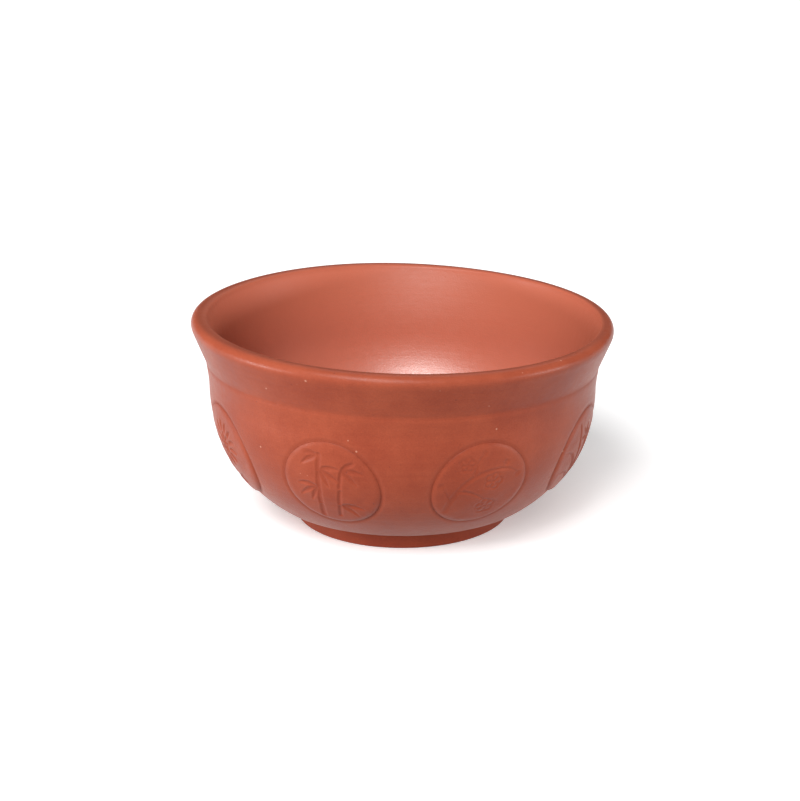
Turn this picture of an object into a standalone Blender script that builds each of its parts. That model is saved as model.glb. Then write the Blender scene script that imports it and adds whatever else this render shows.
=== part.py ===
"""Gongfu teacup: a small unglazed red-clay bowl on a luted foot ring, with a row of applied round sprigs.

Metres, +Z up. The cup's axis is Z, and the origin is the centre of the foot ring's underside, on the table.
The bowl and the foot ring are turned from profiles in the plane of X (the radius) and Z (the height).
"""

import math

import bmesh
import bpy

# Overall size
RIM_DIAMETER = 0.0650  # across the outside of the lip
HEIGHT = 0.0322  # table to the top of the lip

# Lip and neck
LIP_THICKNESS = 0.0024  # the lip is a half round of this thickness
LIP_DEPTH = 0.0026  # top of the lip down to the soft break inside the mouth
NECK_HEIGHT = 0.0071  # top of the lip down to the crease where the neck meets the belly
NECK_WALL = 0.0027  # level thickness of the wall at the break inside the mouth
CREASE_DEPTH = 0.00015  # how far the foot of the neck is set in from the belly's top edge

# Belly
BELLY_DIAMETER = 0.0600  # across the ring where the belly's arc turns upright
SHOULDER_HEIGHT = 0.0040  # from that ring up to the crease
SHOULDER_FLARE = 0.0004  # how far the wall leans out again over that height
BASE_EDGE = 0.0006  # rounding where the belly turns under
WALL = 0.0024  # thickness at the belly's upright ring
FLOOR = 0.0026  # thickness of the cup's floor
FLOOR_ROUNDING = 0.0125  # level reach of the curve between the floor and the wall, inside

# Foot ring
FOOT_DIAMETER = 0.0336  # outside, at the table
FOOT_HEIGHT = 0.0037  # table to the bowl's underside
FOOT_WIDTH = 0.0030  # of the ring, where it meets the bowl
FOOT_DRAFT = 0.0008  # how far the ring's outside leans out going up
FOOT_EDGE = 0.0004  # rounding of its two lower edges
BASE_OVERHANG = 0.0040  # how far the belly stands out beyond the ring's outside at the table

# Roundels
ROUNDEL_COUNT = 8
ROUNDEL_DIAMETER = 0.0149
ROUNDEL_DROP = 0.0078  # along the wall, from the belly's upright ring down to a roundel's centre
ROUNDEL_PROUD = 0.0003  # a roundel's face above the wall
ROUNDEL_LET_IN = 0.0006  # a roundel's back below the wall

# The layer of slip between two luted pieces
SLIP = 0.0003

# Fineness of the turned shapes
TURN_STEPS = 72
CHORD_ERROR = 0.00003  # how far a straight stretch may lie from its true arc
DISC_SIDES = 48
WELD = 0.00001
SHARP_ANGLE = math.radians(32)

# Colours of the fired clay
CLAY_RED = (0.376, 0.084, 0.046, 1.0)
CLAY_FOOT = (0.262, 0.058, 0.034, 1.0)
CLAY_ROUNDEL = (0.392, 0.090, 0.050, 1.0)
BURNISHED = 0.44  # roughness
TRIMMED = 0.60

# Worked out from the sizes above
LIP_RADIUS = LIP_THICKNESS / 2
LIP_CENTRE = (RIM_DIAMETER / 2 - LIP_RADIUS, HEIGHT - LIP_RADIUS)
CREASE_Z = HEIGHT - NECK_HEIGHT
BELLY_RADIUS = BELLY_DIAMETER / 2
BELLY_Z = CREASE_Z - SHOULDER_HEIGHT
BASE_RADIUS = FOOT_DIAMETER / 2 + BASE_OVERHANG
FLOOR_Z = FOOT_HEIGHT + FLOOR
SEAT_DEPTH = ROUNDEL_LET_IN + SLIP
SEAT_RADIUS = ROUNDEL_DIAMETER / 2 + SLIP
BAND_REACH = SEAT_RADIUS + ROUNDEL_LET_IN + WALL


def upright_arc_radius(across, along):
    """Radius of the arc that starts upright and ends so far across and so far along. It has across's sign."""
    return (across**2 + along**2) / (2 * across)


BELLY_ARC = upright_arc_radius(BELLY_RADIUS - BASE_RADIUS, BELLY_Z - FOOT_HEIGHT)
SHOULDER_ARC = upright_arc_radius(SHOULDER_FLARE, SHOULDER_HEIGHT)


def clear_scene():
    for obj in list(bpy.data.objects):
        bpy.data.objects.remove(obj, do_unlink=True)


def new_collection(name):
    collection = bpy.data.collections.new(name)
    bpy.context.scene.collection.children.link(collection)
    return collection


def arc_step(radius):
    """The turn of one straight stretch of an arc."""
    return 2 * math.acos(1 - CHORD_ERROR / abs(radius))


def arc(centre, radius, start, end, level_radius=None):
    """Points of an arc between two angles from the X axis. A level radius of its own makes it oval."""
    level = level_radius or radius
    count = max(2, math.ceil(abs(end - start) / arc_step(radius)))
    angles = [start + (end - start) * i / count for i in range(count + 1)]
    return [(centre[0] + level * math.cos(a), centre[1] + radius * math.sin(a)) for a in angles]


def tangent_angle(point, centre, radius, side):
    """Angle on a circle where the line from a point outside it touches, on one side (1 or -1)."""
    x, z = point[0] - centre[0], point[1] - centre[1]
    return math.atan2(z, x) + side * math.acos(radius / math.hypot(x, z))


def rounded_corner(before, corner, after, radius):
    """Points of the fillet at a corner between two straight stretches of a profile."""
    ways = []
    for end in (before, after):
        x, z = end[0] - corner[0], end[1] - corner[1]
        ways.append((x / math.hypot(x, z), z / math.hypot(x, z)))
    half = math.acos(ways[0][0] * ways[1][0] + ways[0][1] * ways[1][1]) / 2
    middle = (ways[0][0] + ways[1][0], ways[0][1] + ways[1][1])
    reach = radius / math.sin(half) / math.hypot(*middle)
    centre = (corner[0] + middle[0] * reach, corner[1] + middle[1] * reach)
    starts = []
    for way in ways:
        touch = radius / math.tan(half)
        starts.append(
            math.atan2(corner[1] + way[1] * touch - centre[1], corner[0] + way[0] * touch - centre[0])
        )
    turn = (starts[1] - starts[0] + math.pi) % math.tau - math.pi
    return arc(centre, radius, starts[0], starts[0] + turn)


def wall_point(along, out=0.0):
    """(radius, height) along the outer wall, up from the belly's upright ring, and out of the wall."""
    if along < 0:
        tilt = -along / BELLY_ARC
        radius = BELLY_RADIUS - BELLY_ARC * (1 - math.cos(tilt))
        height = BELLY_Z - BELLY_ARC * math.sin(tilt)
    else:
        tilt = along / SHOULDER_ARC
        radius = BELLY_RADIUS + SHOULDER_ARC * (1 - math.cos(tilt))
        height = BELLY_Z + SHOULDER_ARC * math.sin(tilt)
    return radius + out * math.cos(tilt), height - out * math.sin(tilt)


def bowl_profile():
    """From the middle of the floor up the inside, over the lip, down the outside and under to the middle."""
    neck_foot = (BELLY_RADIUS + SHOULDER_FLARE - CREASE_DEPTH, CREASE_Z + CREASE_DEPTH)
    neck_end = tangent_angle(neck_foot, LIP_CENTRE, LIP_RADIUS, 1)
    neck_lean = neck_end + math.pi / 2

    break_z = HEIGHT - LIP_DEPTH
    break_radius = neck_foot[0] + (break_z - neck_foot[1]) / math.tan(neck_lean) - NECK_WALL
    inside_break = (break_radius, break_z)
    inside_end = tangent_angle(inside_break, LIP_CENTRE, LIP_RADIUS, -1) + math.tau

    inside_radius = BELLY_RADIUS - WALL
    inside_centre = (inside_radius - FLOOR_ROUNDING, BELLY_Z)
    mouth_arc = upright_arc_radius(break_radius - inside_radius, break_z - BELLY_Z)
    mouth_turn = math.asin((break_z - BELLY_Z) / mouth_arc)

    points = [(0.0, FLOOR_Z)]
    points += arc(inside_centre, BELLY_Z - FLOOR_Z, -math.pi / 2, 0.0, FLOOR_ROUNDING)
    points += arc((inside_radius + mouth_arc, BELLY_Z), mouth_arc, math.pi, math.pi - mouth_turn)[1:]
    points += arc(LIP_CENTRE, LIP_RADIUS, inside_end, neck_end)
    points.append(neck_foot)

    shoulder = math.asin(SHOULDER_HEIGHT / SHOULDER_ARC)
    points += arc((BELLY_RADIUS + SHOULDER_ARC, BELLY_Z), SHOULDER_ARC, math.pi - shoulder, math.pi)
    turn = math.asin((BELLY_Z - FOOT_HEIGHT) / BELLY_ARC)
    belly = arc((BELLY_RADIUS - BELLY_ARC, BELLY_Z), BELLY_ARC, 0.0, -turn)[1:]
    middle = (0.0, FOOT_HEIGHT)
    points += belly[:-1] + rounded_corner(belly[-2], belly[-1], middle, BASE_EDGE)
    points.append(middle)
    return points


def foot_profile():
    """The ring's closed section, from its top inner edge round by the outside."""
    top = FOOT_HEIGHT - SLIP
    outer_top = (FOOT_DIAMETER / 2 + FOOT_DRAFT, top)
    inner_top = (outer_top[0] - FOOT_WIDTH, top)
    outer_low = (FOOT_DIAMETER / 2, 0.0)
    inner_low = (inner_top[0], 0.0)
    points = [inner_top, outer_top]
    points += rounded_corner(outer_top, outer_low, inner_low, FOOT_EDGE)
    points += rounded_corner(outer_low, inner_low, inner_top, FOOT_EDGE)
    return points


def band_profile(low, high):
    """The closed section of a band that follows the wall where the roundels sit, between two depths."""
    steps = math.ceil(2 * BAND_REACH / (BELLY_ARC * arc_step(BELLY_ARC)))
    along = [BAND_REACH - ROUNDEL_DROP - 2 * BAND_REACH * i / steps for i in range(steps + 1)]
    return [wall_point(a, high) for a in along] + [wall_point(a, low) for a in reversed(along)]


def principled(name, colour, roughness):
    material = bpy.data.materials.new(name)
    material.use_nodes = True
    shader = material.node_tree.nodes["Principled BSDF"]
    shader.inputs["Base Color"].default_value = colour
    shader.inputs["Roughness"].default_value = roughness
    shader.inputs["Metallic"].default_value = 0.0
    material.diffuse_color = colour
    return material


def baked(obj):
    """The object's mesh with its modifiers applied."""
    bpy.context.view_layer.update()
    mesh = bpy.data.meshes.new_from_object(obj.evaluated_get(bpy.context.evaluated_depsgraph_get()))
    obj.modifiers.clear()
    obj.data = mesh
    return mesh


def finish(obj, material):
    """Applies a part's modifiers, shades it smooth with its real edges sharp, and gives it its clay."""
    mesh = baked(obj)
    mesh.shade_smooth()
    mesh.set_sharp_from_angle(angle=SHARP_ANGLE)
    mesh.materials.clear()
    mesh.materials.append(material)


def turned(name, points, closed, collection):
    """An object turned about Z from a profile."""
    mesh = bpy.data.meshes.new(name)
    edges = [(i, i + 1) for i in range(len(points) - 1)]
    if closed:
        edges.append((len(points) - 1, 0))
    mesh.from_pydata([(radius, 0.0, height) for radius, height in points], edges, [])
    obj = bpy.data.objects.new(name, mesh)
    collection.objects.link(obj)
    screw = obj.modifiers.new("turn", "SCREW")
    screw.axis = "Z"
    screw.angle = math.tau
    screw.steps = TURN_STEPS
    screw.render_steps = TURN_STEPS
    screw.use_merge_vertices = True
    screw.merge_threshold = WELD
    return obj


def boolean(obj, operation, other):
    modifier = obj.modifiers.new(f"{operation.lower()}_{other.name}", "BOOLEAN")
    modifier.operation = operation
    modifier.object = other
    modifier.solver = "EXACT"


def set_helper(obj):
    obj.hide_render = True
    obj.display_type = "WIRE"


def place_on_wall(obj, number):
    """Sets an object's origin on a roundel's centre, its Z axis straight out of the wall."""
    around = math.tau * (number + 0.5) / ROUNDEL_COUNT - math.pi / 2
    radius, height = wall_point(-ROUNDEL_DROP)
    obj.location = (radius * math.cos(around), radius * math.sin(around), height)
    obj.rotation_euler = (0.0, math.pi / 2 + ROUNDEL_DROP / BELLY_ARC, around)


def wall_disc(name, radius, band, collection):
    """A round piece of a band: a cylinder square to the wall, kept only where it lies inside the band."""
    mesh = bpy.data.meshes.new(name)
    shape = bmesh.new()
    bmesh.ops.create_cone(
        shape,
        cap_ends=True,
        segments=DISC_SIDES,
        radius1=radius,
        radius2=radius,
        depth=ROUNDEL_DIAMETER,
    )
    shape.to_mesh(mesh)
    shape.free()
    obj = bpy.data.objects.new(name, mesh)
    collection.objects.link(obj)
    place_on_wall(obj, 0)
    boolean(obj, "INTERSECT", band)
    return obj


def copies_round_the_wall(first, name, collection):
    """The first object, already in place, and one more on each of the other roundel places."""
    first.name = f"{name}_1"
    found = [first]
    for number in range(1, ROUNDEL_COUNT):
        obj = bpy.data.objects.new(f"{name}_{number + 1}", first.data)
        collection.objects.link(obj)
        place_on_wall(obj, number)
        found.append(obj)
    return found


def build_roundels(parts, cutters):
    """The roundels, and the cutters for the seats that they are let into."""
    clay_band = turned("roundel_band", band_profile(-ROUNDEL_LET_IN, ROUNDEL_PROUD), True, cutters)
    seat_band = turned("seat_band", band_profile(-SEAT_DEPTH, WALL), True, cutters)
    set_helper(clay_band)
    set_helper(seat_band)

    roundel = wall_disc("roundel", ROUNDEL_DIAMETER / 2, clay_band, parts)
    finish(roundel, principled("clay_roundel", CLAY_ROUNDEL, BURNISHED))
    roundels = copies_round_the_wall(roundel, "roundel", parts)

    seat = wall_disc("roundel_seat", SEAT_RADIUS, seat_band, cutters)
    baked(seat)
    seats = copies_round_the_wall(seat, "roundel_seat", cutters)
    for obj in seats:
        set_helper(obj)
    return roundels, seats


def build_bowl(parts, seats):
    bowl = turned("bowl", bowl_profile(), False, parts)
    for seat in seats:
        boolean(bowl, "DIFFERENCE", seat)
    finish(bowl, principled("clay_bowl", CLAY_RED, BURNISHED))
    return bowl


def build_foot_ring(parts):
    ring = turned("foot_ring", foot_profile(), True, parts)
    finish(ring, principled("clay_foot", CLAY_FOOT, TRIMMED))
    return ring


def build():
    clear_scene()
    parts = new_collection("gongfu_teacup")
    cutters = new_collection("gongfu_teacup_cutters")
    roundels, seats = build_roundels(parts, cutters)
    bowl = build_bowl(parts, seats)
    ring = build_foot_ring(parts)
    for piece in [ring, *roundels]:
        piece.parent = bowl


build()
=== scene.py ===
"""Looks of the gongfu teacup: burnished red clay with cut roundels, on a pale floor.

Metres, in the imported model's frame: the cup's axis is Z, the table is z = 0, and the camera stands at -Y.
Each piece is a finer copy of one solid: the bowl, its foot ring and the eight roundels let into its wall.
"""

import math

import bmesh
import bpy
import numpy as np
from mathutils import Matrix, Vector


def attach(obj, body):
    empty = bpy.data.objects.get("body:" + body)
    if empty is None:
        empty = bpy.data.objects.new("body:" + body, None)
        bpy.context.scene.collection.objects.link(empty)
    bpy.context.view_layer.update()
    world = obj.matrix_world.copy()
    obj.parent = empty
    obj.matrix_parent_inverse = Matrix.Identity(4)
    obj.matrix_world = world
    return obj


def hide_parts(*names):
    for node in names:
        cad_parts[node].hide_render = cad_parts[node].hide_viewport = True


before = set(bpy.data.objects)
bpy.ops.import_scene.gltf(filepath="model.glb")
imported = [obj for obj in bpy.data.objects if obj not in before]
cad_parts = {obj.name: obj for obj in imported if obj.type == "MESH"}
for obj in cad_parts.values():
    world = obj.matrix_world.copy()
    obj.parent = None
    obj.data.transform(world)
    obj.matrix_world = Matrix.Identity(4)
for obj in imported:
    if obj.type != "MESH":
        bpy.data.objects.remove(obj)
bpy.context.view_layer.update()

MM = 0.001

# Sizes of the solids
RIM_DIAMETER = 65.0 * MM
HEIGHT = 32.2 * MM
LIP_THICKNESS = 2.4 * MM
LIP_DEPTH = 2.6 * MM
NECK_HEIGHT = 7.1 * MM
NECK_WALL = 2.7 * MM
CREASE_DEPTH = 0.15 * MM
BELLY_DIAMETER = 60.0 * MM
SHOULDER_HEIGHT = 4.0 * MM
SHOULDER_FLARE = 0.4 * MM
BASE_EDGE = 0.6 * MM
WALL = 2.4 * MM
FLOOR = 2.6 * MM
FLOOR_ROUNDING = 12.5 * MM
FOOT_DIAMETER = 33.6 * MM
FOOT_HEIGHT = 3.7 * MM
FOOT_WIDTH = 3.0 * MM
FOOT_DRAFT = 0.8 * MM
FOOT_EDGE = 0.4 * MM
BASE_OVERHANG = 4.0 * MM
ROUNDEL_COUNT = 8
ROUNDEL_DIAMETER = 14.9 * MM
ROUNDEL_DROP = 7.8 * MM
SLIP = 0.3 * MM

# Finish of the clay that the solids leave out
LUTED_GAP = 0.02 * MM  # what stays open where slip fills a joint
BREAK_SOFTENING = 0.6 * MM  # reach of the soft break inside the mouth
LIP_SQUARENESS = 4.5  # 2 is a round lip; more gives it a flatter top and a tighter inner edge
EDGE_SOFTENING = 0.24 * MM  # reach of the rounding at the crease
FOOT_FILLET = 1.0 * MM  # slip smoothed into the corner under the bowl
INSIDE_SHIFT = 0.35 * MM  # the inside is turned off the middle, so the lip is thickest at -X
RIM_LEAN = math.radians(1.2)  # the mouth is a little higher at -X
LEAN_GROWTH = 1.5  # power of the height with which the lean grows
OUT_OF_ROUND = 0.10 * MM
WOBBLE_GROWTH = 3  # power of the height with which the rim's ups and downs grow
CALM_RADIUS = 10 * MM  # nearer to the axis than this, the swell fades out

# Waves round the cup: (share, lobes, phase, twist from the foot to the lip)
SWELL_WAVES = ((0.6, 2, 0.7, 0), (0.3, 3, 2.1, 0), (0.15, 5, -math.pi / 2, 4))
WOBBLE_WAVES = ((0.5, 3, 0.4, 0), (0.3, 4, 1.0 - math.pi / 2, 0))

# Faces of the roundels
FIELD_UNEVENNESS = 0.02 * MM
CUT_DEPTH = 0.15 * MM
CUT_EDGE = 0.21 * MM  # half the width of a cut's sloping side
CUT_BURR = 0.015 * MM  # how far the clay stands up beside a cut
BURR_MIDDLE = 1.25 * CUT_EDGE
BURR_REACH = 0.6 * CUT_EDGE
MOTIF_REACH = 1.08  # size of the motifs against how they are drawn
MOTIF_MARGIN = 0.5 * MM  # no cut comes nearer to the roundel's edge
MOTIF_FADE = 0.6 * MM  # stretch in which the cuts reach their depth
FACE_DOME = 0.20 * MM  # how far the middle of a roundel's face swells out
FACE_LIFT = 0.26 * MM  # how much further its low edge stands out of the wall
LEFT_BY_WEAR = (0.5, 1.0, 0.8, 0.9, 0.7, 1.0, 1.0, 0.8)  # share of each roundel's cuts

# Marks of painted shade, of rubbing and of painted light on the lip: how far each one reaches, and how
# strong it is
CREASE_REACH = 0.14 * MM
# The darker line along the crease is painted shade.
CREASE_SHADE = 0.6
LIP_REACH = 1.3 * MM
# The lip is painted lighter: painted light on its top, with a little rubbing.
LIP_RUB_AND_LIGHT = 1.8
BASE_REACH = 0.3 * MM
BASE_BAND = 1.0 * MM  # how far in from the base's edge its rubbing may lie
BASE_RUB = 0.6
CORNER_REACH = 0.8 * MM  # on the underside, where the foot ring meets it
FOOT_CORNER_REACH = 0.35 * MM  # on the foot ring, under the bowl
# The darker corners where the foot ring meets the bowl are painted shade.
CORNER_SHADE = 0.7
FOOT_REACH = 0.25 * MM
FOOT_RUB = 0.6
BURR_RUB = 0.7
# Inwards from here the clay is painted paler, as light inside the cup.
INSIDE_START = 0.3 * MM  # inwards of the middle of the lip
INSIDE_FADE = 1.0 * MM

# Fineness of the meshes
FINE_STEP = 0.02 * MM
INSIDE_STEP = 0.6 * MM
OUTSIDE_STEP = 0.4 * MM
UNDER_STEP = 0.8 * MM
MOST_TURN = math.radians(9)
ARC_POINTS = 240
BELLY_POINTS = 200
STROKE_POINTS = 12
SOFTENING_TAIL = 3  # how many times its reach a softening looks along the profile
SECTOR_COLUMNS = 40
SECTOR_ROWS = 44
SECTOR_RINGS = (0.0, 0.13, 0.26, 0.39, 0.52, 0.64, 0.75, 0.85, 0.93, 1.0)
BAND_HALF = 9.0 * MM
SEARCH_HALF = 1.5 * BAND_HALF
SEARCH_STEPS = 44
FIELD_RINGS = 62
FIELD_COLUMNS = 240
SAME_POINT = 1e-7
SAME_HEIGHT = 0.01 * MM
NO_LENGTH = 1e-12

# Worked out from the sizes
LIP_RADIUS = LIP_THICKNESS / 2
LIP_CENTRE = (RIM_DIAMETER / 2 - LIP_RADIUS, HEIGHT - LIP_RADIUS)
CREASE_Z = HEIGHT - NECK_HEIGHT
BELLY_RADIUS = BELLY_DIAMETER / 2
BELLY_Z = CREASE_Z - SHOULDER_HEIGHT
BASE_RADIUS = FOOT_DIAMETER / 2 + BASE_OVERHANG
FLOOR_Z = FOOT_HEIGHT + FLOOR
FOOT_TOP_RADIUS = FOOT_DIAMETER / 2 + FOOT_DRAFT
ROUNDEL_RADIUS = ROUNDEL_DIAMETER / 2
SEAT_RADIUS = ROUNDEL_RADIUS + SLIP
COLUMNS = SECTOR_COLUMNS * ROUNDEL_COUNT
BAND_LOW = -ROUNDEL_DROP - BAND_HALF
BAND_HIGH = -ROUNDEL_DROP + BAND_HALF


def upright_arc_radius(across, along):
    """Radius of the arc that starts upright and ends so far across and so far along."""
    return (across**2 + along**2) / (2 * across)


BELLY_ARC = upright_arc_radius(BELLY_RADIUS - BASE_RADIUS, BELLY_Z - FOOT_HEIGHT)
SHOULDER_ARC = upright_arc_radius(SHOULDER_FLARE, SHOULDER_HEIGHT)


# Profiles: rows of (radius, height)


def arc(centre, radius, start, end, level_radius=None):
    """Points on a circle, or on an ellipse if its level radius is another one."""
    angles = np.linspace(start, end, ARC_POINTS)
    level = level_radius or radius
    return np.column_stack([centre[0] + level * np.cos(angles), centre[1] + radius * np.sin(angles)])


def tangent_angle(point, centre, radius, side):
    """Angle on a circle where the line from a point outside it touches, on one side (1 or -1)."""
    x, z = point[0] - centre[0], point[1] - centre[1]
    return math.atan2(z, x) + side * math.acos(radius / math.hypot(x, z))


def fillet(before, corner, after, radius):
    """Points of the rounding at a corner between two straight stretches."""
    corner = np.asarray(corner, float)
    ways = [np.subtract(end, corner) / np.linalg.norm(np.subtract(end, corner)) for end in (before, after)]
    half = math.acos(np.dot(*ways)) / 2
    middle = ways[0] + ways[1]
    centre = corner + middle / np.linalg.norm(middle) * radius / math.sin(half)
    ends = [corner + way * radius / math.tan(half) - centre for way in ways]
    first, last = (math.atan2(end[1], end[0]) for end in ends)
    return arc(centre, radius, first, first + (last - first + math.pi) % math.tau - math.pi)


def evenly(points):
    """A profile again, with a point every fine step."""
    lengths = np.concatenate([[0.0], np.cumsum(np.hypot(*np.diff(points, axis=0).T))])
    places = np.linspace(0.0, lengths[-1], math.ceil(lengths[-1] / FINE_STEP) + 1)
    return np.column_stack([np.interp(places, lengths, points[:, i]) for i in (0, 1)])


def softened(points, reach):
    """A profile, evenly set, with its corners rounded over about this reach and its ends kept."""
    points = evenly(points)
    count = math.ceil(SOFTENING_TAIL * reach / FINE_STEP)
    weights = np.exp(-0.5 * (np.arange(-count, count + 1) * FINE_STEP / reach) ** 2)
    weights /= weights.sum()
    padded = np.pad(points, ((count, count), (0, 0)), mode="reflect", reflect_type="odd")
    return np.column_stack([np.convolve(padded[:, i], weights, "valid") for i in (0, 1)])


def rows_of(points, most_step):
    """The points of a fine profile that its mesh needs: one for each step, and more where it bends."""
    ways = np.diff(points, axis=0)
    steps = np.hypot(ways[:, 0], ways[:, 1])
    bends = np.abs(np.diff(np.unwrap(np.arctan2(ways[:, 1], ways[:, 0]))))
    kept, length, turn = [0], 0.0, 0.0
    for i in range(1, len(points) - 1):
        length += steps[i - 1]
        turn += bends[i - 1]
        if length >= most_step or turn >= MOST_TURN:
            kept.append(i)
            length = turn = 0.0
    return points[kept + [len(points) - 1]]


def lip_section(start, end):
    """The lip from its inside over the top to its outside, squarer on the inside."""
    angles = np.linspace(start, end, ARC_POINTS)
    across, up = np.cos(angles), np.sin(angles)
    squared = (np.abs(across) ** LIP_SQUARENESS + np.abs(up) ** LIP_SQUARENESS) ** (-1 / LIP_SQUARENESS)
    reach = LIP_RADIUS * np.where(angles > math.pi / 2, squared, 1.0)
    return np.column_stack([LIP_CENTRE[0] + reach * across, LIP_CENTRE[1] + reach * up])


def wall(along):
    """Radius, height and tilt of the outer wall, at distances up along it from the belly's upright ring."""
    along = np.asarray(along, float)
    bend = np.where(along < 0, BELLY_ARC, SHOULDER_ARC)
    side = np.where(along < 0, -1.0, 1.0)
    tilt = np.abs(along) / bend
    return BELLY_RADIUS + side * bend * (1 - np.cos(tilt)), BELLY_Z + side * bend * np.sin(tilt), tilt


def upper_profile():
    """From the middle of the floor up the inside, over the lip and down to the top of the roundels' band."""
    neck_foot = (BELLY_RADIUS + SHOULDER_FLARE - CREASE_DEPTH, CREASE_Z + CREASE_DEPTH)
    neck_end = tangent_angle(neck_foot, LIP_CENTRE, LIP_RADIUS, 1)
    break_z = HEIGHT - LIP_DEPTH
    lean = math.tan(neck_end + math.pi / 2)
    break_radius = neck_foot[0] + (break_z - neck_foot[1]) / lean - NECK_WALL
    inside_end = tangent_angle((break_radius, break_z), LIP_CENTRE, LIP_RADIUS, -1) + math.tau
    inside_radius = BELLY_RADIUS - WALL
    mouth_arc = upright_arc_radius(break_radius - inside_radius, break_z - BELLY_Z)
    mouth_turn = math.asin((break_z - BELLY_Z) / mouth_arc)
    lip = lip_section(inside_end, neck_end)
    inside = np.vstack([
        [(0.0, FLOOR_Z)],
        arc((inside_radius - FLOOR_ROUNDING, BELLY_Z), BELLY_Z - FLOOR_Z, -math.pi / 2, 0.0, FLOOR_ROUNDING),
        arc((inside_radius + mouth_arc, BELLY_Z), mouth_arc, math.pi, math.pi - mouth_turn),
        lip[:1],
    ])
    shoulder_top = SHOULDER_ARC * math.asin(SHOULDER_HEIGHT / SHOULDER_ARC)
    shoulder = np.column_stack(wall(np.linspace(shoulder_top, BAND_HIGH))[:2])
    outside = np.vstack([lip, [neck_foot], shoulder])
    return np.vstack([
        rows_of(softened(inside, BREAK_SOFTENING), INSIDE_STEP)[:-1],
        rows_of(softened(outside, EDGE_SOFTENING), OUTSIDE_STEP),
    ])


def lower_profile():
    """From the foot of the roundels' band down the belly and under it to the middle."""
    turn = math.asin((BELLY_Z - FOOT_HEIGHT) / BELLY_ARC)
    belly = np.column_stack(wall(np.linspace(BAND_LOW, -BELLY_ARC * turn, BELLY_POINTS))[:2])
    above, corner, middle = belly[-4], belly[-1], (0.0, FOOT_HEIGHT)
    edge = fillet(above, corner, middle, BASE_EDGE)
    cut_back = np.hypot(*(belly - corner).T) > np.hypot(*(edge[0] - corner))
    side = evenly(np.vstack([belly[cut_back], edge]))
    under = evenly(np.vstack([edge[-1:], [middle]]))
    return np.vstack([rows_of(side, OUTSIDE_STEP)[:-1], rows_of(under, UNDER_STEP)])


def foot_profile():
    """The foot ring's closed section, from its top inner edge round by the outside."""
    top = FOOT_HEIGHT - LUTED_GAP
    outer_top = (FOOT_TOP_RADIUS, top)
    inner_top = (FOOT_TOP_RADIUS - FOOT_WIDTH, top)
    outer_low, inner_low = (FOOT_DIAMETER / 2, 0.0), (inner_top[0], 0.0)
    outer_flare = (outer_top[0] + FOOT_FILLET, top)
    inner_flare = (inner_top[0] - FOOT_FILLET, top)
    section = np.vstack([
        [inner_flare, outer_flare],
        fillet(outer_flare, outer_top, outer_low, FOOT_FILLET),
        fillet(outer_top, outer_low, inner_low, FOOT_EDGE),
        fillet(outer_low, inner_low, inner_top, FOOT_EDGE),
        fillet(inner_low, inner_top, inner_flare, FOOT_FILLET),
        [inner_flare],
    ])
    return rows_of(evenly(section), OUTSIDE_STEP)


# The flat of a roundel: places (right, up) square to the wall's normal at its centre

CENTRE_RADIUS, CENTRE_Z, CENTRE_TILT = (float(value) for value in wall(-ROUNDEL_DROP))
UP = np.array([math.sin(CENTRE_TILT), 0.0, math.cos(CENTRE_TILT)])
OUT = np.array([math.cos(CENTRE_TILT), 0.0, -math.sin(CENTRE_TILT)])


def wall_points(along, around):
    radius, height, _ = wall(along)
    return np.stack([radius * np.cos(around), radius * np.sin(around), height + 0 * around], axis=-1)


def flat_places(along, around):
    """Where points of the wall fall on the flat of a roundel whose centre lies at around = 0."""
    points = wall_points(along, around) - (CENTRE_RADIUS, 0.0, CENTRE_Z)
    return points[..., 1], points @ UP


def wall_under(right, up):
    """Along and around of the wall's points behind places on a roundel's flat, found by halving."""
    low = np.full(np.shape(right), -ROUNDEL_DROP - SEARCH_HALF)
    high = np.full(np.shape(right), -ROUNDEL_DROP + SEARCH_HALF)
    for _ in range(SEARCH_STEPS):
        along = (low + high) / 2
        around = np.arcsin(right / wall(along)[0])
        below = flat_places(along, around)[1] < up
        low, high = np.where(below, along, low), np.where(below, high, along)
    return along, around


def roundel_points(right, up, out):
    """Points at some distance out of the wall, behind or before places on a roundel's flat."""
    along, around = wall_under(right, up)
    tilt = wall(along)[2]
    slant = np.cos(tilt) * np.cos(around) * OUT[0] - np.sin(tilt) * OUT[2]
    return wall_points(along, around) + (out / slant)[..., None] * OUT


def turned(points, angle):
    """Points turned about the cup's axis."""
    x, y, z = np.moveaxis(points, -1, 0)
    cos, sin = math.cos(angle), math.sin(angle)
    return np.stack([x * cos - y * sin, x * sin + y * cos, z], axis=-1)


def roundel_angle(number):
    return math.tau * (number + 0.5) / ROUNDEL_COUNT - math.pi / 2


# Meshes out of patches: grids of points, each with its marks

# How deep a point lies in a cut, with painted shade there and in the crease and the corners at the foot; how
# much it is rubbed, with painted light on the lip; and whether it is inside the cup, where the clay is
# painted paler as light
MARKS = ("cut", "rub", "inside")


def waves(around, rise, rows):
    """The waves of a table added up, at angles round the cup and shares of its height."""
    return sum(share * np.cos(lobes * around + phase + twist * rise) for share, lobes, phase, twist in rows)


def handmade(points):
    """Points of the cup as the potter left them: the mouth leans a little, and nothing is quite round."""
    x, y, z = points.T
    around = np.arctan2(y, x)
    rise = np.maximum(z / HEIGHT, 0.0)
    reach = np.maximum(np.hypot(x, y), SAME_POINT)
    swell = OUT_OF_ROUND * rise * waves(around, rise, SWELL_WAVES)
    share = 1 + swell / reach * np.minimum(reach / CALM_RADIUS, 1.0)
    lift = -x * math.tan(RIM_LEAN) * rise**LEAN_GROWTH
    lift += OUT_OF_ROUND * rise**WOBBLE_GROWTH * waves(around, rise, WOBBLE_WAVES)
    return np.column_stack([x * share, y * share, z + lift])


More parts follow.
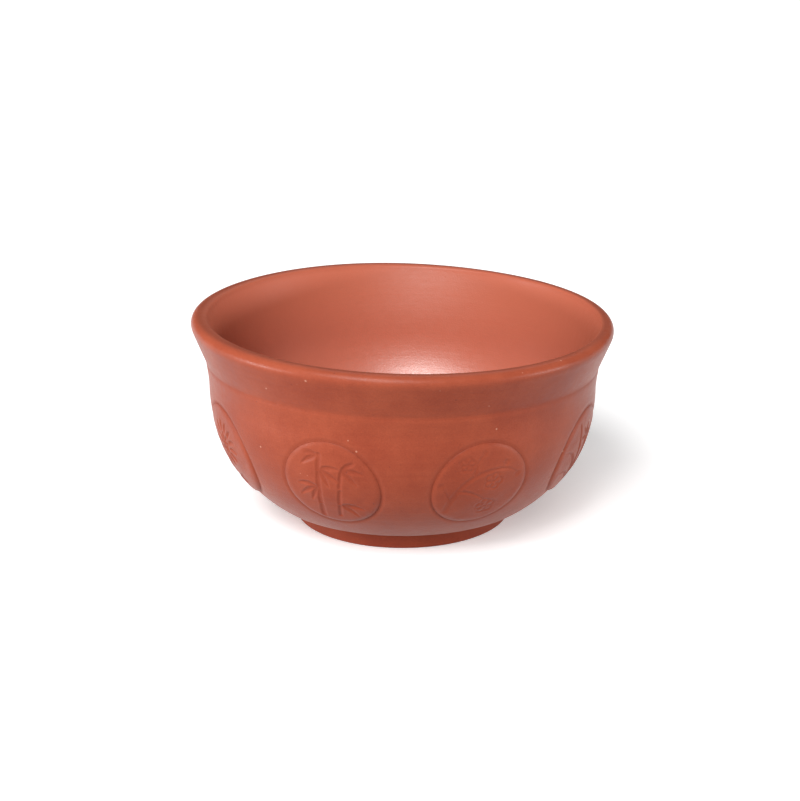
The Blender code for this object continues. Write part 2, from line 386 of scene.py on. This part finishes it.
def grid_faces(rows, columns):
    """Faces of a grid of points that closes on itself along its rows."""
    row, column = np.meshgrid(np.arange(rows - 1), np.arange(columns), indexing="ij")
    here, below = row * columns, (row + 1) * columns
    beside = (column + 1) % columns
    corners = [here + column, here + beside, below + beside, below + column]
    return np.stack(corners, axis=-1).reshape(-1, 4)


def joined(patches):
    """The points, faces and marks of patches, made one where they meet."""
    points, faces, marks, first = [], [], [], 0
    for grid, patch_marks in patches:
        rows, columns = grid.shape[:2]
        faces.append(grid_faces(rows, columns) + first)
        points.append(grid.reshape(-1, 3))
        layers = [np.broadcast_to(patch_marks.get(mark, 0.0), (rows, columns)) for mark in MARKS]
        marks.append(np.stack(layers, axis=-1).reshape(-1, len(MARKS)))
        first += rows * columns
    points, marks = np.vstack(points), np.vstack(marks)
    cells = np.round(points / SAME_POINT).astype(np.int64)
    _, kept, place = np.unique(cells, axis=0, return_index=True, return_inverse=True)
    whole = []
    for face in place.reshape(-1)[np.vstack(faces)].tolist():
        corners = list(dict.fromkeys(face))
        if len(corners) > 2:
            whole.append(corners)
    return points[kept], whole, marks[kept]


def new_piece(name, patches, material, node):
    points, faces, marks = joined(patches)
    mesh = bpy.data.meshes.new(name)
    mesh.from_pydata(handmade(points).tolist(), [], faces)
    shape = bmesh.new()
    shape.from_mesh(mesh)
    bmesh.ops.recalc_face_normals(shape, faces=shape.faces)
    shape.to_mesh(mesh)
    shape.free()
    for column, mark in enumerate(MARKS):
        values = marks[:, column].astype(np.float32)
        mesh.attributes.new(mark, "FLOAT", "POINT").data.foreach_set("value", values)
    mesh.shade_smooth()
    mesh.materials.append(material)
    piece = bpy.data.objects.new(name, mesh)
    bpy.context.scene.collection.objects.link(piece)
    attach(piece, "root")
    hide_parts(node)


def turned_patch(profile, **marks):
    """A profile carried round the axis, with marks for each of its rows."""
    around = np.arange(COLUMNS) * math.tau / COLUMNS
    radius, height = profile[:, :1], np.repeat(profile[:, 1:], COLUMNS, axis=1)
    grid = np.stack([radius * np.cos(around), radius * np.sin(around), height], axis=-1)
    return grid, {mark: values[:, None] for mark, values in marks.items()}


def bump(value, middle, reach):
    """1 at the middle, fading to 0 over about the reach."""
    return np.exp(-(((value - middle) / reach) ** 2))


# The seat's edge in millimetres, from the wall to the hidden floor:
# beyond the seat's radius, out of the wall, cut (painted shade in the groove), rub
SEAT_EDGE = np.array([
    (0.70, 0.000, 0.0, 0.0),
    (0.52, -0.003, 0.0, 0.2),
    (0.38, -0.010, 0.0, 0.4),
    (0.26, -0.024, 0.1, 0.4),
    (0.15, -0.043, 0.3, 0.2),
    (0.06, -0.060, 0.5, 0.1),
    (-0.02, -0.074, 0.7, 0.0),
    (-0.10, -0.083, 0.9, 0.0),
    (-0.18, -0.087, 1.0, 0.0),
    (-0.25, -0.086, 1.0, 0.0),
    (-0.28, -0.083, 1.0, 0.0),
    (-0.29, -0.620, 1.0, 0.0),
])


def seat_patches(number):
    """One roundel's stretch of the wall, from the edge of the stretch to the floor of its seat."""
    half = math.pi / ROUNDEL_COUNT
    columns = np.linspace(-half, half, SECTOR_COLUMNS + 1)
    rows = np.linspace(BAND_LOW, BAND_HIGH, SECTOR_ROWS + 1)
    around = np.concatenate([
        columns[:-1], np.full(SECTOR_ROWS, half), columns[:0:-1], np.full(SECTOR_ROWS, -half)
    ])
    along = np.concatenate([
        np.full(SECTOR_COLUMNS, BAND_LOW), rows[:-1], np.full(SECTOR_COLUMNS, BAND_HIGH), rows[:0:-1]
    ])
    right, up = flat_places(along, around)
    reach = np.hypot(right, up)
    right, up = right / reach, up / reach
    radii = SEAT_RADIUS + SEAT_EDGE[:, 0] * MM
    inner_along, inner_around = wall_under(right * radii[0], up * radii[0])
    share = np.array(SECTOR_RINGS)[:, None]
    field = wall_points(along + (inner_along - along) * share, around + (inner_around - around) * share)
    # Two more rings, halfway in and at the centre, close the floor of the seat
    radii = np.concatenate([radii, [ROUNDEL_RADIUS / 2, 0.0]])[:, None]
    rings = np.vstack([SEAT_EDGE, SEAT_EDGE[-1:], SEAT_EDGE[-1:]])
    out, cut, rub = rings[:, 1:2] * MM, rings[:, 2:3], rings[:, 3:4]
    edge = roundel_points(right * radii, up * radii, out + 0 * right)
    angle = roundel_angle(number)
    return [(turned(field, angle), {}), (turned(edge, angle), {"cut": cut, "rub": rub})]


# Motifs: strokes on a roundel's flat, in shares of its radius


def curve(start, bend, end):
    t = np.linspace(0.0, 1.0, STROKE_POINTS)[:, None]
    return (1 - t) ** 2 * np.array(start) + 2 * t * (1 - t) * np.array(bend) + t**2 * np.array(end)


def stem(start, bend, end, width, tip):
    """A stroke that runs from one half-width to another."""
    return curve(start, bend, end), np.linspace(width, tip, STROKE_POINTS)


def blade(start, bend, end, width):
    """A leaf or petal: pointed at both ends and fullest before its middle."""
    fullness = 0.8
    t = np.linspace(0.0, 1.0, STROKE_POINTS)
    return curve(start, bend, end), width * np.sin(math.pi * t**fullness) ** fullness


def away(point, angle, reach):
    return point[0] + reach * math.cos(math.radians(angle)), point[1] + reach * math.sin(math.radians(angle))


def leaf(start, angle, reach, width, droop=-0.12):
    """A blade that leaves a point at an angle and droops towards its tip."""
    end = away(start, angle, reach)
    middle = away(start, angle, reach / 2)
    return blade(start, (middle[0], middle[1] - droop * reach), (end[0], end[1] + droop * reach), width)


def petals(centre, count, inner, outer, width, turn=0.0):
    """Blades round a centre, each with a slight bend."""
    bend = 8
    strokes = []
    for i in range(count):
        angle = turn + 360.0 * i / count
        middle = away(centre, angle + bend, (inner + outer) / 2)
        strokes.append(blade(away(centre, angle, inner), middle, away(centre, angle, outer), width))
    return strokes


def ring(centre, radius, width, start=0.0, end=360.0):
    points = np.array([away(centre, a, radius) for a in np.linspace(start, end, STROKE_POINTS)])
    return points, np.full(STROKE_POINTS, width)


def blossom(centre, size, turn):
    """Five round petals, open towards a small eye."""
    count, opening = 5, 130
    strokes = []
    for i in range(count):
        angle = turn + 360 / count * i
        petal = away(centre, angle, 0.62 * size)
        strokes.append(ring(petal, 0.40 * size, 0.020, angle - opening, angle + opening))
    return strokes + [ring(centre, 0.06 * size, 0.022)]


def bamboo():
    strokes = []
    joint_gap, bow = 0.035, 0.01
    for x, lean, width, joints in (
        (-0.20, 0.07, 0.040, (-0.76, -0.40, -0.02, 0.36, 0.72)),
        (0.20, 0.16, 0.027, (-0.70, -0.36, 0.02, 0.42)),
    ):
        for low, high in zip(joints, joints[1:]):
            start, end = (x + lean * low, low + joint_gap), (x + lean * high, high - joint_gap)
            bend = ((start[0] + end[0]) / 2 - bow, (low + high) / 2)
            strokes.append(stem(start, bend, end, width, width))
    for start, leaves in (
        ((-0.16, 0.40), ((12, 0.40), (-28, 0.44), (-62, 0.34))),
        ((-0.22, 0.02), ((172, 0.40), (208, 0.44), (240, 0.34))),
        ((-0.17, 0.66), ((168, 0.36), (205, 0.38))),
        ((0.26, 0.40), ((40, 0.34), (2, 0.40), (-40, 0.36))),
        ((0.18, -0.36), ((-8, 0.40), (-44, 0.36))),
    ):
        strokes += [leaf(start, angle, reach, 0.042) for angle, reach in leaves]
    return strokes


def plum():
    strokes = [
        stem((-0.62, -0.50), (-0.50, 0.42), (0.30, 0.40), 0.050, 0.026),
        stem((0.30, 0.40), (0.48, 0.40), (0.66, 0.26), 0.026, 0.012),
        stem((-0.46, 0.00), (-0.16, -0.02), (0.10, -0.28), 0.032, 0.012),
        stem((-0.18, 0.30), (-0.20, 0.52), (-0.06, 0.70), 0.026, 0.010),
        stem((-0.58, -0.26), (-0.66, -0.06), (-0.74, 0.06), 0.026, 0.010),
    ]
    strokes += blossom((0.20, 0.16), 0.17, 70)
    strokes += blossom((0.14, -0.44), 0.18, 100)
    strokes += blossom((-0.34, 0.56), 0.14, 85)
    for bud in ((0.70, 0.20), (-0.02, 0.76), (-0.78, 0.12), (0.44, 0.50)):
        strokes.append(ring(bud, 0.025, 0.030))
    return strokes


def orchid():
    root = (-0.08, -0.66)
    strokes = [
        blade(root, (-0.30, 0.20), (-0.74, 0.20), 0.040),
        blade(root, (-0.22, 0.50), (-0.34, 0.72), 0.036),
        blade(root, (0.20, 0.30), (0.74, -0.06), 0.042),
        blade(root, (0.10, 0.36), (0.48, 0.62), 0.036),
        blade(root, (-0.34, -0.24), (-0.68, -0.26), 0.034),
        blade(root, (0.20, -0.30), (0.56, -0.42), 0.034),
        stem(root, (-0.02, -0.10), (0.06, 0.36), 0.016, 0.012),
    ]
    strokes += [leaf((0.06, 0.38), angle, 0.24, 0.034, 0.05) for angle in (20, 75, 128, 185)]
    strokes += [leaf((0.08, 0.34), angle, 0.16, 0.030, -0.10) for angle in (-30, -85)]
    return strokes


def chrysanthemum():
    head = (0.06, 0.24)
    strokes = petals(head, 8, 0.07, 0.22, 0.030) + petals(head, 13, 0.24, 0.46, 0.036, 12.0)
    strokes.append(ring(head, 0.025, 0.024))
    strokes.append(stem((0.00, -0.22), (-0.10, -0.46), (-0.02, -0.78), 0.024, 0.030))
    for start, angles in (((-0.06, -0.48), (150, 180, 212)), ((-0.04, -0.58), (-32, -2, 30))):
        strokes += [leaf(start, angle, 0.36, 0.044, 0.04) for angle in angles]
    return strokes


def stroke_distance(places, strokes):
    """How far places lie outside the nearest stroke; less than 0 inside one."""
    nearest = np.full(len(places), 1.0)
    for points, widths in strokes:
        for (start, end), (wide, narrow) in zip(zip(points, points[1:]), zip(widths, widths[1:])):
            way = end - start
            share = np.clip((places - start) @ way / max(way @ way, NO_LENGTH), 0.0, 1.0)
            gap = np.linalg.norm(places - start - share[:, None] * way, axis=1)
            nearest = np.minimum(nearest, gap - (wide + (narrow - wide) * share))
    return nearest


def relief(right, up, strokes):
    """How far the face of a roundel is cut in, and its marks."""
    size = MOTIF_REACH * ROUNDEL_RADIUS
    places = np.stack([right, up], axis=-1).reshape(-1, 2) / size
    gap = stroke_distance(places, strokes).reshape(right.shape) * size
    share = np.clip(0.5 - gap / (2 * CUT_EDGE), 0.0, 1.0)
    cut = share**2 * (3 - 2 * share)
    burr = bump(gap, BURR_MIDDLE, BURR_REACH)
    return CUT_BURR * burr - CUT_DEPTH * cut, cut, burr


def unevenness(right, up, number):
    """Faint waves in a roundel's field, shifted from one roundel to the next."""
    x, y = right / MM, up / MM
    across, upward, slanting = 0.9, 0.7, 1.7  # radians per millimetre
    slanting_share = 0.6
    crossed = np.sin(across * x + number) * np.cos(upward * y + 2 * number)
    return crossed + slanting_share * np.sin(slanting * (x - y))


# The roundel's edge in millimetres, from its face to its hidden back:
# beyond its radius, out of the wall, cut (painted shade at the edge), rub
FACE_EDGE = np.array([
    (-1.30, 0.100, 0.0, 0.0),
    (-1.00, 0.097, 0.0, 0.1),
    (-0.75, 0.088, 0.0, 0.2),
    (-0.55, 0.070, 0.0, 0.3),
    (-0.40, 0.046, 0.0, 0.2),
    (-0.28, 0.018, 0.1, 0.1),
    (-0.18, -0.012, 0.3, 0.0),
    (-0.09, -0.045, 0.6, 0.0),
    (0.00, -0.075, 0.9, 0.0),
    (0.00, -0.200, 1.0, 0.0),
    (0.00, -0.480, 1.0, 0.0),
])
FACE_RIM = -3  # the row where the face ends and the hidden side starts


def roundel_patches(number, strokes):
    """One roundel's face with its edge and side, and its back."""
    angles = np.arange(FIELD_COLUMNS) * math.tau / FIELD_COLUMNS
    face_reach = ROUNDEL_RADIUS + FACE_EDGE[0, 0] * MM
    face_out, rim_out = FACE_EDGE[0, 1] * MM, FACE_EDGE[FACE_RIM, 1] * MM
    inner = np.linspace(0.0, face_reach, FIELD_RINGS + 1)[:-1]
    radii = np.concatenate([inner, ROUNDEL_RADIUS + FACE_EDGE[:, 0] * MM])[:, None]
    out = np.concatenate([np.full(FIELD_RINGS, face_out), FACE_EDGE[:, 1] * MM])[:, None]
    right, up = radii * np.cos(angles), radii * np.sin(angles)
    carved, cut, burr = relief(right, up, strokes)
    face = np.clip((ROUNDEL_RADIUS - MOTIF_MARGIN - radii) / MOTIF_FADE, 0.0, 1.0) * LEFT_BY_WEAR[number]
    raised = np.clip((out - rim_out) / (face_out - rim_out), 0.0, 1.0)
    lowness = np.clip(0.5 - up / (2 * ROUNDEL_RADIUS), 0.0, 1.0)
    out = out + face * (carved + FIELD_UNEVENNESS * unevenness(right, up, number))
    out = out + FACE_DOME * np.clip(1 - (radii / face_reach) ** 2, 0.0, 1.0) ** 2
    out = out + FACE_LIFT * raised * lowness**2
    edge_marks = np.concatenate([np.zeros((FIELD_RINGS, 2)), FACE_EDGE[:, 2:]])
    # The cuts and the edge's groove carry painted shade
    cut = np.maximum(cut * face, edge_marks[:, :1])
    rub = np.maximum(BURR_RUB * burr * face, edge_marks[:, 1:])
    front = roundel_points(right, up, out)
    shares = np.array([[1.0], [0.5], [0.0]])
    back = roundel_points(right[-1:] * shares, up[-1:] * shares, out[-1:] + 0 * shares)
    angle = roundel_angle(number)
    return [(turned(front, angle), {"cut": cut, "rub": rub}), (turned(back, angle), {"cut": 1.0})]


# Nodes


def add_node(tree, kind, inputs=None, **settings):
    """A node with its settings, and its inputs set or linked."""
    made = tree.nodes.new(kind)
    for name, value in settings.items():
        setattr(made, name, value)
    for socket, value in (inputs or {}).items():
        if isinstance(value, bpy.types.NodeSocket):
            tree.links.new(value, made.inputs[socket])
        else:
            made.inputs[socket].default_value = value
    return made


def math_node(tree, operation, first, second):
    return add_node(tree, "ShaderNodeMath", {0: first, 1: second}, operation=operation).outputs[0]


def noise(tree, vector, scale, detail, roughness):
    inputs = {"Vector": vector, "Scale": scale, "Detail": detail, "Roughness": roughness}
    return add_node(tree, "ShaderNodeTexNoise", inputs).outputs["Fac"]


def mapped(tree, value, span, onto=(0.0, 1.0)):
    """A value carried from one span onto another, and held at its ends."""
    inputs = {"Value": value, "From Min": span[0], "From Max": span[1], "To Min": onto[0], "To Max": onto[1]}
    return add_node(tree, "ShaderNodeMapRange", inputs).outputs[0]


def mixed(tree, factor, first, second, blend="MIX"):
    inputs = {0: factor, 6: first, 7: second}
    return add_node(tree, "ShaderNodeMix", inputs, data_type="RGBA", blend_type=blend).outputs[2]


def specks(tree, vector, scale, rarity, size):
    """1 inside rare grains of many sizes, 0 between them."""
    softness = 0.05
    cells = add_node(tree, "ShaderNodeTexVoronoi", {"Vector": vector, "Scale": scale})
    chance = add_node(tree, "ShaderNodeSeparateColor", {"Color": cells.outputs["Color"]}).outputs["Red"]
    reach = mapped(tree, chance, (rarity, 1.0), (0.0, size))
    inside = math_node(tree, "SUBTRACT", reach, cells.outputs["Distance"])
    return mapped(tree, inside, (0.0, softness))


# Clay

# Tones of the clay: dark, main and pale
BODY_TONES = ((0.306, 0.054, 0.025, 1.0), (0.343, 0.065, 0.030, 1.0), (0.380, 0.077, 0.036, 1.0))
FOOT_TONES = ((0.318, 0.054, 0.026, 1.0), (0.357, 0.064, 0.030, 1.0), (0.396, 0.076, 0.036, 1.0))

# What is mixed into them, one after the other: where, how strongly, and its colour
TINTS = (
    ("dark_grains", 0.5, (0.14, 0.030, 0.020, 1.0)),
    ("pale_grains", 0.6, (0.72, 0.36, 0.25, 1.0)),
    # Darker in the cuts, the crease and the corners at the foot: painted shade
    ("cut", 0.22, (0.17, 0.026, 0.012, 1.0)),
    # Paler where rubbed, and on the lip painted light
    ("rub", 0.10, (0.58, 0.16, 0.09, 1.0)),
    # Paler inside the cup: painted light
    ("inside", 0.9, (0.54, 0.145, 0.084, 1.0)),
)

# How much each pattern and mark does to the tone, to the roughness and, in millimetres, to the fine relief
TONE_SHARES = {"patches": 0.62, "clouds": 0.22, "bands": 0.16}
FINISH_SHARES = {"clouds": 0.6, "grain": 0.4}
ROUGHNESS_OF_MARKS = {"cut": 0.12, "rub": -0.012, "inside": 0.06}
RELIEF_HEIGHTS = {"bands": 0.020, "clouds": 0.030, "dark_grains": -0.020, "pale_grains": 0.012}

# The wheel's bands to a millimetre, drawn out round the cup
BANDS_PER_MM = (0.05, 0.05, 1.6)

# Spans of the patterns' values that are put to use, and what the grain does to the shade
DARK_TO_MAIN = (0.36, 0.50)
MAIN_TO_PALE = (0.50, 0.64)
GRAIN_SPAN = (0.25, 0.75)
GRAIN_SHADE = (0.90, 1.10)
FINISH_SPAN = (0.32, 0.68)

# Gloss: the inside is burnished, most of all low down
GLOSS = 0.19
GLOSS_HEIGHTS = (12.0, 28.0)  # millimetres above the table
INSIDE_GLOSS = (1.7, 0.10)


def clay_patterns(tree):
    """What varies over the clay, each as a socket: its patterns, its grains, its height and its marks."""
    place = add_node(tree, "ShaderNodeTexCoord").outputs["Object"]
    mm = add_node(tree, "ShaderNodeVectorMath", {0: place, "Scale": 1 / MM}, operation="SCALE").outputs[0]
    stretch = {0: mm, 1: BANDS_PER_MM}
    banded = add_node(tree, "ShaderNodeVectorMath", stretch, operation="MULTIPLY").outputs[0]
    seen = {
        "patches": noise(tree, mm, scale=0.13, detail=5.0, roughness=0.55),
        "clouds": noise(tree, mm, scale=0.9, detail=4.0, roughness=0.6),
        "grain": noise(tree, mm, scale=5.0, detail=3.0, roughness=0.6),
        "bands": noise(tree, banded, scale=1.0, detail=4.0, roughness=0.6),
        "pale_grains": specks(tree, mm, scale=0.85, rarity=0.91, size=0.17),
        "dark_grains": specks(tree, mm, scale=1.3, rarity=0.86, size=0.20),
        "height": add_node(tree, "ShaderNodeSeparateXYZ", {0: mm}).outputs["Z"],
    }
    for mark in MARKS:
        seen[mark] = add_node(tree, "ShaderNodeAttribute", attribute_name=mark).outputs["Fac"]
    return seen


def weighted_sum(tree, seen, shares):
    """Some of what varies over the clay added up, each times its share."""
    parts = [math_node(tree, "MULTIPLY", seen[name], share) for name, share in shares.items()]
    total = parts[0]
    for part in parts[1:]:
        total = math_node(tree, "ADD", total, part)
    return total


def clay_colour(tree, seen, tones):
    """Mottled clay with its grains, with painted shade in the cuts, the crease and the corners at the foot,
    paler where it is rubbed, with painted light on the lip, and painted paler inside the cup as light.
    """
    dark, main, pale = tones
    tone = weighted_sum(tree, seen, TONE_SHARES)
    colour = mixed(tree, mapped(tree, tone, DARK_TO_MAIN), dark, main)
    colour = mixed(tree, mapped(tree, tone, MAIN_TO_PALE), colour, pale)
    shade = mapped(tree, seen["grain"], GRAIN_SPAN, GRAIN_SHADE)
    shade = add_node(tree, "ShaderNodeCombineColor", {0: shade, 1: shade, 2: shade}).outputs[0]
    colour = mixed(tree, 1.0, colour, shade, "MULTIPLY")
    for where, strength, tint in TINTS:
        colour = mixed(tree, math_node(tree, "MULTIPLY", seen[where], strength), colour, tint)
    return colour


def clay_roughness(tree, seen, finish):
    texture = mapped(tree, weighted_sum(tree, seen, FINISH_SHARES), FINISH_SPAN, finish)
    return math_node(tree, "ADD", texture, weighted_sum(tree, seen, ROUGHNESS_OF_MARKS))


def clay_bump(tree, seen, grain_height):
    height = weighted_sum(tree, seen, {"grain": grain_height, **RELIEF_HEIGHTS})
    return add_node(tree, "ShaderNodeBump", {"Height": height, "Distance": MM, "Strength": 1.0}).outputs[0]


def clay_gloss(tree, seen):
    burnish = mapped(tree, seen["height"], GLOSS_HEIGHTS, INSIDE_GLOSS)
    return math_node(tree, "ADD", math_node(tree, "MULTIPLY", seen["inside"], burnish), GLOSS)


def clay(name, tones, finish, grain_height):
    """Fired red clay: mottled, faintly banded by the wheel, with pale and dark grains."""
    material = bpy.data.materials.new(name)
    material.use_nodes = True
    tree = material.node_tree
    seen = clay_patterns(tree)
    for socket, value in (
        ("Base Color", clay_colour(tree, seen, tones)),
        ("Roughness", clay_roughness(tree, seen, finish)),
        ("Normal", clay_bump(tree, seen, grain_height)),
        ("Specular IOR Level", clay_gloss(tree, seen)),
    ):
        tree.links.new(value, tree.nodes["Principled BSDF"].inputs[socket])
    return material


BOWL_CLAY = clay("clay_bowl", BODY_TONES, finish=(0.31, 0.43), grain_height=0.030)
FOOT_CLAY = clay("clay_foot", FOOT_TONES, finish=(0.50, 0.66), grain_height=0.050)
ROUNDEL_CLAY = clay("clay_roundel", BODY_TONES, finish=(0.34, 0.46), grain_height=0.032)


# Pieces


def build_bowl():
    upper, lower = upper_profile(), lower_profile()
    # Painted shade along the crease
    crease = bump(upper[:, 1], CREASE_Z + CREASE_DEPTH, CREASE_REACH) * (upper[:, 0] > BELLY_RADIUS)
    # Where the lip is painted lighter, as painted light and a little rubbing
    lip = bump(upper[:, 1], HEIGHT, LIP_REACH)
    before_top = np.arange(len(upper)) < np.argmax(upper[:, 1])
    # Inside the cup, where the clay is painted paler as light
    inner = np.clip((LIP_CENTRE[0] - INSIDE_START - upper[:, 0]) / INSIDE_FADE, 0.0, 1.0) * before_top
    base = bump(lower[:, 1], FOOT_HEIGHT + BASE_REACH, BASE_REACH) * (lower[:, 0] > BASE_RADIUS - BASE_BAND)
    # Painted shade in the corner round the foot ring
    corner = bump(lower[:, 0], FOOT_TOP_RADIUS, CORNER_REACH) * (lower[:, 1] < FOOT_HEIGHT + SAME_HEIGHT)
    mouth, marks = turned_patch(upper, cut=CREASE_SHADE * crease, rub=LIP_RUB_AND_LIGHT * lip, inside=inner)
    mouth[..., 0] += INSIDE_SHIFT * inner[:, None]
    patches = [(mouth, marks), turned_patch(lower, cut=CORNER_SHADE * corner, rub=BASE_RUB * base)]
    for number in range(ROUNDEL_COUNT):
        patches += seat_patches(number)
    new_piece("teacup_bowl", patches, BOWL_CLAY, "bowl")


def build_foot_ring():
    profile = foot_profile()
    worn = bump(profile[:, 1], 0.0, FOOT_REACH)
    # Painted shade on the foot ring under the bowl
    corner = bump(profile[:, 1], FOOT_HEIGHT, FOOT_CORNER_REACH)
    patches = [turned_patch(profile, cut=CORNER_SHADE * corner, rub=FOOT_RUB * worn)]
    new_piece("teacup_foot_ring", patches, FOOT_CLAY, "foot_ring")


def build_roundels():
    motifs = (plum, orchid, chrysanthemum, bamboo)
    for number in range(ROUNDEL_COUNT):
        strokes = motifs[number % len(motifs)]()
        name = f"roundel_{number + 1}"
        new_piece(f"teacup_{name}", roundel_patches(number, strokes), ROUNDEL_CLAY, name)


# Stage, light and camera

FLOOR_SIDE = 12.0
FLOOR_WHITE = (0.95, 0.95, 0.95, 1.0)  # what the eye sees of the floor
FLOOR_GLOW = 0.40
FLOOR_BOUNCE = (0.40, 0.40, 0.40, 1.0)  # what lights the cup from below

# Lamps far away: name, azimuth and elevation, strength, and how wide they look; angles in degrees
LAMPS = (
    ("key", -26, 47, 2.05, 26),
    ("front", -10, 33, 1.6, 26),
    ("left", -80, 2, 1.95, 5),
    ("right", 80, 2, 1.25, 4),
    ("back", 172, 50, 0.3, 40),
)
WORLD_COLOUR = (1.0, 1.0, 1.0, 1.0)
WORLD_STRENGTH = 0.06

LENS = 86.0  # millimetres, as Blender counts lenses and sensors
SENSOR_WIDTH = 36.0
CLIP_START = 0.01
CAMERA_AZIMUTH = -0.93
CAMERA_ELEVATION = 18.47
CAMERA_DISTANCE = 300 * MM
AIM_HEIGHT = 18.05 * MM
AIM_LEFT = 0.40 * MM


def white_to_the_eye(tree):
    """1 for rays that show the background: straight to the camera, or by way of gloss or glass."""
    path = add_node(tree, "ShaderNodeLightPath").outputs
    shown = math_node(tree, "MAXIMUM", path["Is Camera Ray"], path["Is Glossy Ray"])
    return math_node(tree, "MAXIMUM", shown, path["Is Transmission Ray"])


def floor_material():
    material = bpy.data.materials.new("pale_floor")
    material.use_nodes = True
    tree = material.node_tree
    tree.nodes.clear()
    matt = add_node(tree, "ShaderNodeBsdfDiffuse", {"Color": FLOOR_BOUNCE}).outputs[0]
    white = add_node(tree, "ShaderNodeBsdfDiffuse", {"Color": FLOOR_WHITE}).outputs[0]
    glow = add_node(tree, "ShaderNodeEmission", {"Strength": FLOOR_GLOW}).outputs[0]
    shown = add_node(tree, "ShaderNodeAddShader", {0: white, 1: glow}).outputs[0]
    floor = add_node(tree, "ShaderNodeMixShader", {0: white_to_the_eye(tree), 1: matt, 2: shown}).outputs[0]
    add_node(tree, "ShaderNodeOutputMaterial", {"Surface": floor})
    return material


def build_floor():
    half = FLOOR_SIDE / 2
    mesh = bpy.data.meshes.new("floor")
    corners = [(-half, -half, 0), (half, -half, 0), (half, half, 0), (-half, half, 0)]
    mesh.from_pydata(corners, [], [(0, 1, 2, 3)])
    mesh.materials.append(floor_material())
    floor = bpy.data.objects.new("floor", mesh)
    bpy.context.scene.collection.objects.link(floor)


def towards(azimuth, elevation):
    """Direction from the cup: azimuth 0 is the camera's side (-Y) and grows to the right, in degrees."""
    a, e = math.radians(azimuth), math.radians(elevation)
    return Vector((math.sin(a) * math.cos(e), -math.cos(a) * math.cos(e), math.sin(e)))


def build_lamp(name, azimuth, elevation, strength, width):
    lamp = bpy.data.lights.new(name, "SUN")
    lamp.energy = strength
    lamp.angle = math.radians(width)
    obj = bpy.data.objects.new(name, lamp)
    obj.rotation_euler = towards(azimuth, elevation).to_track_quat("Z", "Y").to_euler()
    bpy.context.scene.collection.objects.link(obj)


def build_world():
    world = bpy.data.worlds.new("studio")
    bpy.context.scene.world = world
    world.use_nodes = True
    tree = world.node_tree
    tree.nodes.clear()
    light = add_node(tree, "ShaderNodeBackground", {"Color": WORLD_COLOUR, "Strength": WORLD_STRENGTH})
    add_node(tree, "ShaderNodeOutputWorld", {"Surface": light.outputs[0]})


def build_camera():
    lens = bpy.data.cameras.new("camera")
    lens.lens = LENS
    lens.sensor_width = SENSOR_WIDTH
    lens.clip_start = CLIP_START
    camera = bpy.data.objects.new("camera", lens)
    back = towards(CAMERA_AZIMUTH, CAMERA_ELEVATION)
    right = towards(CAMERA_AZIMUTH + 90, 0)
    target = Vector((0.0, 0.0, AIM_HEIGHT)) - AIM_LEFT * right
    camera.location = target + CAMERA_DISTANCE * back
    camera.rotation_euler = back.to_track_quat("Z", "Y").to_euler()
    bpy.context.scene.collection.objects.link(camera)
    bpy.context.scene.camera = camera


build_bowl()
build_foot_ring()
build_roundels()
build_floor()
for settings in LAMPS:
    build_lamp(*settings)
build_world()
build_camera()
bpy.context.scene.view_settings.view_transform = "Standard"
